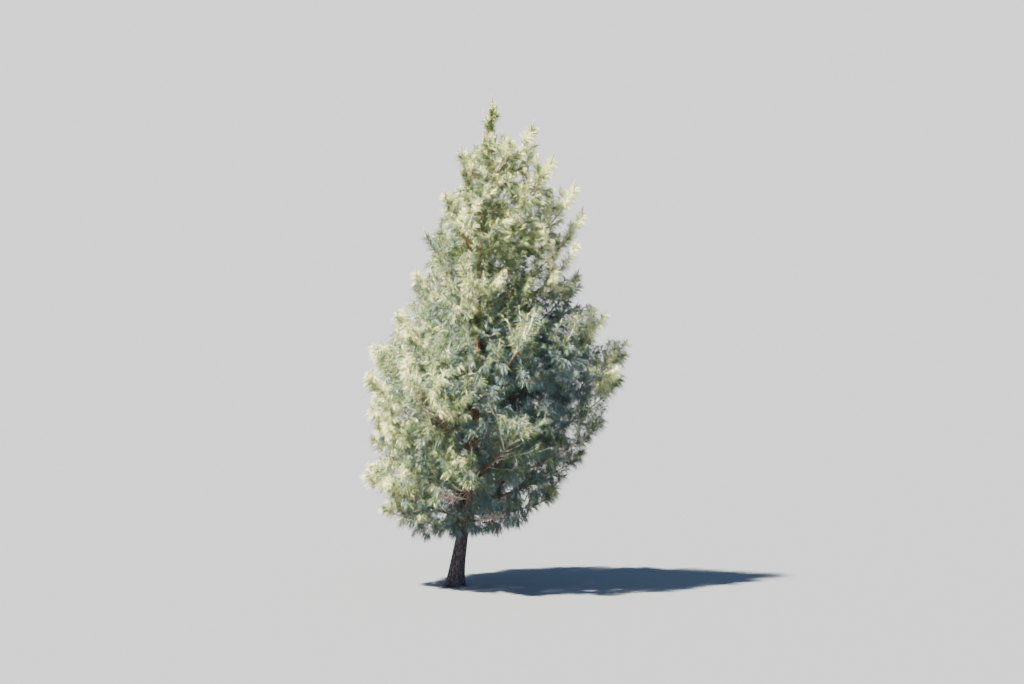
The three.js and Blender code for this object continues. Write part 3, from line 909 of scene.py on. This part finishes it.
# %% Needles
NEEDLE_COUNT = 415000
NEEDLES_IN_SPRAY = 4
SPRAY_WIDTH = 0.015
SPRAY_SPREAD = 0.14
NEEDLE_LENGTH = (0.15, 0.21)
NEEDLE_WIDTH, CORE_NEEDLE_WIDTH = 0.0052, 0.008
CORE_SHARES = (0.4, 0.65)
CORE_TOP, TOP_DENSER = 5.2, 1.35
BLUNT_THINNER = 0.55
LEADER_NEEDLED = 0.93
UPPER_HEIGHTS = [3.5, 6.0]
SLANT, UPPER_STRAIGHTER, TIP_STRAIGHTER = 1.1, 0.15, 0.4
DROOP, UPPER_STIFFER = (0.55, 1.25), 0.55
UPPER_SHORTER, TIP_SHORTER, LEADER_SHORTER = 0.22, 0.3, 0.85
BEND_SHARE = 0.42
BOX_SPARE = 0.045
DENSER = np.array([1.1, 2.0, 1.0, 0.9, 0.9, 1.7])

room = (shoots.length + 0.06) * DENSER[shoots.kind]
room *= np.interp(outerness(shoots.tips(0.6)), CORE_SHARES, (0.75, 1.0))
room *= np.where((shoots.kind == TIP) & (np.abs(shoots.tips()[:, 1]) > 0.5), BLUNT_THINNER, 1.0)
room *= np.interp(shoots.start[:, 2], [4.5, 6.0], [1.0, TOP_DENSER])
sprays = np.round(room / room.sum() * NEEDLE_COUNT / NEEDLES_IN_SPRAY).astype(int)
of_shoot = np.repeat(np.arange(len(sprays)), sprays)
count = len(of_shoot)
share = grain.uniform(0.04, 1.0, count) ** 0.7
kind = shoots.kind[of_shoot]
share *= np.where(kind == LEADER, LEADER_NEEDLED, 1.0)
base = shoots.point(of_shoot, share)
axis = shoots.heading(of_shoot, share)
upper = np.interp(base[:, 2], UPPER_HEIGHTS, [0, 1])
slant = SLANT - UPPER_STRAIGHTER * upper - TIP_STRAIGHTER * share
slant *= grain.uniform(0.7, 1.2, count)
leading = np.isin(kind, (TIP, LEADER)) * upper
slant += UPPER_STRAIGHTER * leading
spray_turn = grain.random(count)
spray_way = around(axis, slant, 2 * np.pi * spray_turn)
spray_droop = grain.uniform(*DROOP, count) * (1 - UPPER_STIFFER * upper)
spray_size = grain.uniform(*NEEDLE_LENGTH, count) * (1 - TIP_SHORTER * share ** 3)
spray_size *= 1 - UPPER_SHORTER * upper * (kind != TIP)
spray_size *= np.where(kind == LEADER, LEADER_SHORTER, 1.0)

of_spray = np.repeat(np.arange(count), NEEDLES_IN_SPRAY)
count = len(of_spray)
way = unit(spray_way[of_spray] + SPRAY_SPREAD * grain.normal(size=(count, 3)))
size = spray_size[of_spray] * grain.uniform(0.85, 1.08, count)
base = base[of_spray] + axis[of_spray] * (SPRAY_WIDTH * (grain.random(count) - 0.5))[:, None]
droop = spray_droop[of_spray] * grain.uniform(0.8, 1.2, count)
middle = base + way * (BEND_SHARE * size)[:, None]
tip = middle + unit(way - UP * droop[:, None]) * ((1 - BEND_SHARE) * size)[:, None]
width = np.interp(outerness(middle), CORE_SHARES, (CORE_NEEDLE_WIDTH, NEEDLE_WIDTH))
width = np.where(middle[:, 2] > CORE_TOP, NEEDLE_WIDTH, width)
across = unit(np.cross(way, grain.normal(size=(count, 3)))) * width[:, None] / 2
needle_points = np.stack([base, middle + across, middle - across, tip], axis=1)
edge = grain.uniform(0.6, 1.2, count)
kept = ~(in_window(base, edge) | in_window(tip, edge) | in_window(middle, edge))
for spot in (base, (base + middle) / 2, middle, (middle + tip) / 2, tip):
    kept &= ~before_bare_bough(spot)
for spot in (middle, tip):
    beyond = (spot < np.array(solid_low) - BOX_SPARE) | (spot > np.array(solid_high) + BOX_SPARE)
    kept &= ~beyond.any(axis=1)
needle_points, of_spray = needle_points[kept], of_spray[kept]
print("needles:", len(of_spray))

# %% [markdown]
# ## Sheaths
#
# Needles leave a young shoot in pale, papery sheaths, which from far off make a cream line
# along it. So the young shoots get short pale scales that lean forward along the wood.

# %% Sheaths
SHEATHS_PER_METRE = 110
SHEATH_LENGTH, SHEATH_WIDTH = 0.05, 0.009
SHEATH_WIDEST, SHEATH_LEAN = 0.4, 0.5
each = np.round(shoots.length * SHEATHS_PER_METRE * young).astype(int)
on_shoot = np.repeat(np.arange(len(each)), each)
count = len(on_shoot)
share_on = grain.uniform(0.1, 1.0, count)
low = shoots.point(on_shoot, share_on)
way = around(shoots.heading(on_shoot, share_on), np.full(count, SHEATH_LEAN))
size = (SHEATH_LENGTH * grain.uniform(0.7, 1.2, count))[:, None]
across = unit(np.cross(way, grain.normal(size=way.shape))) * SHEATH_WIDTH / 2
middle = low + SHEATH_WIDEST * size * way
corners = np.stack([low, middle + across, middle - across, low + size * way], axis=1)
sheaths = mesh_piece("sheaths", *blades(corners))

# %% [markdown]
# ## Tints
#
# The sunlit outside of the crown is silvery sage and the inside deeper and bluer, partly the
# needles' own colour and partly painted sunlight and painted shade. Some dead, straw-coloured
# shoots hang on old stems. A spray's tint goes by how far out its shoot stands, and by chance,
# for silky streaks. As painted shade, deeper tints go right of the trunk, low before it and to
# the gap shoots; as painted sunlight, paler tints go high up, to the right tips, the upper right
# and the leading shoots. Each tint is one piece.

# %% Tints
TINTS = ["silver", "pale", "sage", "olive", "green", "deep", "straw"]
TINT_ENDS = [0.135, 0.23, 0.365, 0.58, 0.795]
# Strengths of the painted shade and painted sunlight used in dealing the tints.
SHADED_DEEPER, RIGHT_TIP_LIT = 0.95, 2.8
FACING_SHADED = 0.55
HIGH_RIGHT_PAINTED_LIGHT, TIP_PAINTED_LIGHT = 0.3, 0.15
GAP_PAINTED_SHADE, LEADER_DEEPER = 0.45, 0.05
TINT_CHANCE = 1.7
SHADE_ACROSS, SHADE_HEIGHTS = ([-0.1, 0.35], [0, 1]), ([1.2, 2.2, 3.5, 4.5], [0.45, 1, 1, 0])
LIT_SHARES, LIT_HEIGHTS = ([0.7, 0.88], [0, 1]), ([2.9, 3.3], [0, 1])
FACING_ACROSS, FACING_HEIGHTS = ([0.25, 0.5], [1, 0]), ([1.7, 2.3], [1, 0])
STRAW_CHANCE, STRAW_WITHIN = 0.12, 0.6
LOCKS_ALONG, LOCKS_ROUND = 3, 3
tips = shoots.tips(0.6)
out_share = outerness(tips)
chance = grain.random(len(out_share))
from_trunk = (tips - trunk_point(tips[:, 2]))[:, 0]
height = tips[:, 2]
# Painted shade: sprays right of the trunk, from about 1 to 4.5 m up, are dealt deeper tints.
shaded = np.interp(from_trunk, *SHADE_ACROSS) * np.interp(height, *SHADE_HEIGHTS)
# Painted sunlight: the right-hand tips from about 3 m up are dealt paler tints.
at_right_tip = np.interp(from_trunk / crown_reach(height, 0.0), *LIT_SHARES)
shaded *= 1 - RIGHT_TIP_LIT * (at_right_tip * np.interp(height, *LIT_HEIGHTS))
# Painted shade: low sprays in front of the trunk are dealt deeper tints.
facing = np.interp(np.abs(from_trunk), *FACING_ACROSS) * (tips[:, 1] < 0)
shaded += FACING_SHADED * facing * np.interp(height, *FACING_HEIGHTS)
# Paler further out, partly own colour and partly painted sunlight; paler high up as painted sunlight.
lightness = np.maximum(out_share, 0.7 * np.minimum(height - 3.8, 1.0)) + 0.4 * (chance - 0.5)
lightness -= SHADED_DEEPER * shaded
# Painted sunlight: the upper crown grows paler to the right.
lightness += HIGH_RIGHT_PAINTED_LIGHT * from_trunk * np.interp(height, [4.0, 4.8], [0, 1])
rank = np.argsort(np.argsort(-lightness)) / len(lightness)
straw = (grain.random(len(rank)) < STRAW_CHANCE) & (out_share < STRAW_WITHIN) & (shoots.kind == STEM)
locks = LOCKS_ALONG * LOCKS_ROUND
lock = of_shoot * locks + np.minimum(share * LOCKS_ALONG, LOCKS_ALONG - 1).astype(int) * LOCKS_ROUND
lock += (spray_turn * LOCKS_ROUND).astype(int)
chance = 0.7 * grain.random(len(rank) * locks)[lock] + 0.3 * grain.random(len(of_shoot))
spray_rank = rank[of_shoot] + TINT_CHANCE * (1 - 0.4 * leading) * (chance - 0.5)
# Painted shade: gap shoots get deeper tints, less so high up; leading shoots paler as painted
# sunlight.
spray_rank += GAP_PAINTED_SHADE * (kind == GAP) * (1 - 0.7 * upper)
spray_rank += LEADER_DEEPER * (kind == LEADER) - TIP_PAINTED_LIGHT * leading
spray_rank = np.argsort(np.argsort(spray_rank)) / len(spray_rank)
spray_tint = np.searchsorted(TINT_ENDS, spray_rank)
spray_tint[straw[of_shoot]] = TINTS.index("straw")

needles = [mesh_piece(f"needles_{tint}", *blades(needle_points[spray_tint[of_spray] == number]))
           for number, tint in enumerate(TINTS)]

# %% [markdown]
# ## Dead limbs
#
# Low on the trunk a few shaded limbs have died. They keep their thin, tangled twigs but no
# needles, and the bare wood has weathered to a pinkish grey, painted paler still as painted
# sunlight, for it stands in the crown's shade.

# %% Dead limbs
DEAD_LIMB_RADIUS, DEAD_TWIG_RADIUS = 0.016, 0.0078
DEAD_TWIGS = 34
DEAD_TWIG_LENGTH = (0.1, 0.26)
WANDER = 0.012
dead_centres, dead_radii = [], []
for limb in DEAD_LIMBS:
    height, bearing, length, climb = limb
    shares = np.linspace(0, 1, 8)
    line = dead_line(*limb, shares)
    line[1:-1] += WANDER * grain.normal(size=(6, 3))
    dead_centres.append(line)
    dead_radii.append(DEAD_LIMB_RADIUS * (1 - 0.75 * shares))
    for twig_share in grain.uniform(0.3, 0.97, DEAD_TWIGS):
        way = np.array([0.5 * math.cos(bearing), 0.5 * math.sin(bearing), 0.25])
        way = unit(way + grain.normal(size=3) * 0.8)
        size = grain.uniform(*DEAD_TWIG_LENGTH)
        s = shares[:, None]
        wander = np.cumsum(WANDER * grain.normal(size=(8, 3)), axis=0)
        dead_centres.append(dead_line(*limb, twig_share) + way * size * s
                            + UP * 0.15 * size * s ** 2 + wander * s)
        dead_radii.append(DEAD_TWIG_RADIUS * (1 - 0.6 * shares))
dead_wood = mesh_piece("dead_wood", *tubes(np.array(dead_centres), np.array(dead_radii), 5))

# %% [markdown]
# ## Building blocks for the finishes
#
# These helpers keep the materials short: a node with its inputs set or linked, a node group, a
# mix of two colours, a share from a range of values, and a material with its coat.

# %% Building blocks for the finishes
SOCKETS = {1: "NodeSocketFloat", 3: "NodeSocketVector", 4: "NodeSocketColor"}


def add(tree, kind, inputs=(), **settings):
    """A new node with its settings, and a value or a link for each input that is named."""
    node = tree.nodes.new(f"ShaderNode{kind}")
    for setting, value in settings.items():
        setattr(node, setting, value)
    for label, value in dict(inputs).items():
        if isinstance(value, bpy.types.NodeSocket):
            tree.links.new(value, node.inputs[label])
        else:
            node.inputs[label].default_value = value
    return node


def node_group(name, inputs, outputs):
    """A group, what it is given and what it makes; a value's size says its socket's kind."""
    group = bpy.data.node_groups.new(name, "ShaderNodeTree")
    for label, value in inputs.items():
        kind = SOCKETS[np.size(value)]
        group.interface.new_socket(name=label, in_out="INPUT", socket_type=kind).default_value = value
    for label, size in outputs.items():
        group.interface.new_socket(name=label, in_out="OUTPUT", socket_type=SOCKETS[size])
    return group, group.nodes.new("NodeGroupInput").outputs, group.nodes.new("NodeGroupOutput").inputs


def mix_colour(tree, factor, first, second):
    return add(tree, "Mix", {0: factor, 6: first, 7: second}, data_type="RGBA").outputs[2]


def band(tree, value, low, high):
    """A share from 0 to 1 as a value goes from low to high."""
    return add(tree, "MapRange", {"Value": value, "From Min": low, "From Max": high}).outputs["Result"]


def grouped(tree, group, **values):
    return add(tree, "Group", values, node_tree=group).outputs


def material(name, roughness):
    made = bpy.data.materials.new(name)
    made.use_nodes = True
    shader = made.node_tree.nodes["Principled BSDF"].inputs
    shader["Roughness"].default_value = roughness
    return made, made.node_tree, shader


def coat(tree, shader, colour, height, distance):
    """Gives a material its colour, and a bump from a height."""
    bump = add(tree, "Bump", {"Distance": distance, "Height": height})
    tree.links.new(colour, shader["Base Color"])
    tree.links.new(bump.outputs["Normal"], shader["Normal"])


# %% [markdown]
# ## Mottle and bark plates
#
# Two effects serve several materials, so each is a node group: mottle, a soft variation between
# two colours, and bark plates, with dark cracks and a height for the bump.

# %% Mottle and bark plates
mottle, given, result = node_group(
    "mottle", {"First": (0.5, 0.5, 0.5, 1), "Second": (0.3, 0.3, 0.3, 1), "Scale": 5.0},
    {"Colour": 4, "Share": 1})
where = add(mottle, "TexCoord").outputs["Object"]
noise = add(mottle, "TexNoise", {"Detail": 4, "Vector": where, "Scale": given["Scale"]})
spread = band(mottle, noise.outputs["Fac"], 0.35, 0.65)
mottle.links.new(mix_colour(mottle, spread, given["First"], given["Second"]), result["Colour"])
mottle.links.new(spread, result["Share"])

plates, given, result = node_group(
    "bark plates", {"Plate": (0.2, 0.15, 0.12, 1), "Flake": (0.3, 0.2, 0.15, 1),
                    "Crack": (0.04, 0.03, 0.025, 1), "Size": (30, 30, 10)},
    {"Colour": 4, "Height": 1})
where = add(plates, "TexCoord").outputs["Object"]
stretch = add(plates, "VectorMath", {0: where, 1: given["Size"]}, operation="MULTIPLY").outputs[0]
fine = add(plates, "TexNoise", {"Vector": stretch, "Scale": 3.0, "Detail": 8}).outputs
warp = add(plates, "VectorMath", {0: fine["Color"], 1: (0.5, 0.5, 0.5), 2: stretch},
           operation="MULTIPLY_ADD").outputs[0]
cells = add(plates, "TexVoronoi", {"Vector": warp, "Scale": 1.0}, feature="DISTANCE_TO_EDGE")
plate_share = band(plates, cells.outputs["Distance"], 0.02, 0.16)
flaked = mix_colour(plates, band(plates, fine["Fac"], 0.42, 0.62), given["Plate"], given["Flake"])
plates.links.new(mix_colour(plates, plate_share, given["Crack"], flaked), result["Colour"])
height = add(plates, "Math", {0: fine["Fac"], 1: 0.3, 2: plate_share}, operation="MULTIPLY_ADD")
plates.links.new(height.outputs[0], result["Height"])
print("node groups:", mottle.name, "and", plates.name)

# %% [markdown]
# ## The bark's colours
#
# Low on the trunk the bark has thick, grey-brown plates with dark cracks. Higher up, and on the
# boughs, it is young and flakes off in orange-brown scales, painted lighter than their own
# colour as painted sunlight, since this bark mostly lies in the crown's shade. The two pass
# into each other between about one and two and a half metres up.

# %% The bark's colours
OLD_PLATE, OLD_FLAKE = (0.066, 0.047, 0.050, 1), (0.125, 0.098, 0.102, 1)
# The young bark's colours are lighter than its own: painted sunlight.
YOUNG_SUNLIT_PLATE, YOUNG_SUNLIT_FLAKE = (0.46, 0.23, 0.14, 1), (0.68, 0.42, 0.29, 1)
CRACK = (0.022, 0.015, 0.013, 1)
PATCH_SHIFT = 1.2


def bark(name, roughness, old_size, young_size, young_from, young_to, depth):
    """Old plates low down and young flakes above, with a ragged change between them."""
    made, tree, shader = material(name, roughness)
    old = grouped(tree, plates, Plate=OLD_PLATE, Flake=OLD_FLAKE, Crack=CRACK, Size=old_size)
    young = grouped(tree, plates, Plate=YOUNG_SUNLIT_PLATE, Flake=YOUNG_SUNLIT_FLAKE, Crack=CRACK, Size=young_size)
    split = add(tree, "SeparateXYZ", {0: add(tree, "TexCoord").outputs["Object"]})
    patches = grouped(tree, mottle, Scale=4.0)
    shifted = add(tree, "Math", {0: patches["Share"], 1: PATCH_SHIFT, 2: split.outputs["Z"]},
                  operation="MULTIPLY_ADD")
    half = PATCH_SHIFT / 2
    age = band(tree, shifted.outputs[0], young_from + half, young_to + half)
    coat(tree, shader, mix_colour(tree, age, old["Colour"], young["Colour"]), old["Height"], depth)
    return made


finishes = {
    "trunk_bark": bark("trunk_bark", 0.92, (34, 34, 12), (45, 45, 30), 1.2, 2.4, 0.004),
    "bough_bark": bark("bough_bark", 0.88, (60, 60, 60), (60, 60, 60), 0.9, 1.9, 0.0015),
}
print("bark finishes:", len(finishes))

# %% [markdown]
# ## Twigs, buds and dead wood
#
# The small wood has no plates, only a soft mottle. Old twigs are red-brown, young ones pale
# with bloom and paler still as a painted highlight, sheaths papery and cream, buds warm brown,
# and dead wood a pinkish grey, paler still as painted sunlight.

# %% Twigs, buds and dead wood
WOOD_COLOURS = {
    "old_twigs": ((0.26, 0.145, 0.095), (0.17, 0.105, 0.07), 40, 0.8, 0.0006),
    # Pale with bloom, and lighter still as a painted highlight along the shoots.
    "young_twigs": ((0.84, 0.77, 0.62), (0.66, 0.56, 0.43), 30, 0.7, 0.0006),
    "sheaths": ((0.88, 0.84, 0.70), (0.78, 0.72, 0.57), 40, 0.6, 0.0004),
    "buds": ((0.50, 0.36, 0.24), (0.40, 0.28, 0.19), 90, 0.7, 0.0006),
    # Pinkish grey, made paler still as painted sunlight on wood in the crown's shade.
    "dead_wood": ((0.86, 0.68, 0.60), (0.64, 0.47, 0.41), 30, 0.9, 0.0006),
}


def mottled(name, first, second, scale, roughness, grit, sheen=0.0):
    made, tree, shader = material(name, roughness)
    group = grouped(tree, mottle, First=(*first, 1), Second=(*second, 1), Scale=scale)
    coat(tree, shader, group["Colour"], group["Share"], grit)
    shader["Sheen Weight"].default_value = sheen
    return made


for name, colours in WOOD_COLOURS.items():
    finishes[name] = mottled(name, *colours)
print("wood finishes:", len(WOOD_COLOURS))

# %% [markdown]
# ## The needles' colours
#
# A needle is smooth and slightly waxy, so it shines a little at a slant. Each tint varies
# softly from place to place, between two near colours. The palest, silvery tint is brighter
# than the needles' own colour, partly a painted highlight, and the bluish deep tint is partly
# painted shade.

# %% The needles' colours
NEEDLE_COLOURS = {
    # Partly a painted highlight: brighter than the needles' own colour.
    "silver": ((0.84, 0.84, 0.43), (0.70, 0.71, 0.35)),
    "pale": ((0.32, 0.41, 0.125), (0.26, 0.34, 0.10)),
    "sage": ((0.155, 0.225, 0.082), (0.125, 0.185, 0.067)),
    "olive": ((0.095, 0.15, 0.067), (0.078, 0.123, 0.056)),
    "green": ((0.083, 0.138, 0.09), (0.068, 0.115, 0.077)),
    # Partly painted shade: dark and bluish, as needles look in the shade.
    "deep": ((0.11, 0.168, 0.178), (0.09, 0.14, 0.15)),
    "straw": ((0.36, 0.23, 0.10), (0.30, 0.18, 0.085)),
}
for tint, colours in NEEDLE_COLOURS.items():
    finishes[f"needles_{tint}"] = mottled(f"needles_{tint}", *colours, 6, 0.42, 0.0004, sheen=0.08)
print("finishes in all:", len(finishes))

# %% [markdown]
# ## Putting the finishes on
#
# Every piece rides on the one body, hides the solids that it stands in for, and takes the
# finish made under its own name.

# %% Putting the finishes on
def dress(piece, slot, *replaced):
    piece.data.materials.append(finishes[piece.name])
    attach(piece, "root")
    if replaced:
        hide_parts(*replaced)


def nodes(start):
    return [name for name in node_names if name.startswith(start)]


dress(trunk, "trunk_bark", "trunk")
dress(bough_bark, "bough_bark", *nodes("bough"))
for piece in (old_twigs, young_twigs):
    dress(piece, "bough_bark", *nodes("foliage"))
for piece in (buds, sheaths):
    dress(piece, "bough_bark")
dress(dead_wood, "dead_wood", *nodes("dead"))
for piece in needles:
    dress(piece, "needles", *nodes("foliage"))
print("dressed:", len(finishes), "pieces")

# %% [markdown]
# ## Floor and light
#
# A plain pale floor goes on to the horizon. The sun stands high on the left, as in the photo,
# with a wide soft edge, and an even pale sky fills the shade.

# %% Floor and light
bpy.ops.mesh.primitive_circle_add(vertices=128, radius=400, fill_type="NGON")
floor = bpy.context.object
floor.name = "floor"
floor_material, tree, shader = material("floor", 0.95)
shader["Base Color"].default_value = (0.094, 0.102, 0.123, 1)
floor.data.materials.append(floor_material)

SUN_WAY = Vector((-0.47, -0.16, 0.87))
SUN_STRENGTH, SKY_STRENGTH = 43.0, 0.85
bpy.ops.object.light_add(type="SUN", rotation=SUN_WAY.to_track_quat("Z", "Y").to_euler())
sun = bpy.context.object
sun.data.energy = SUN_STRENGTH
sun.data.angle = math.radians(2.5)
sun.data.color = (1.0, 0.93, 0.75)

world = bpy.data.worlds.new("studio")
bpy.context.scene.world = world
world.use_nodes = True
sky = world.node_tree.nodes["Background"]
sky.inputs["Color"].default_value = (0.45, 0.67, 1.0, 1)
sky.inputs["Strength"].default_value = SKY_STRENGTH
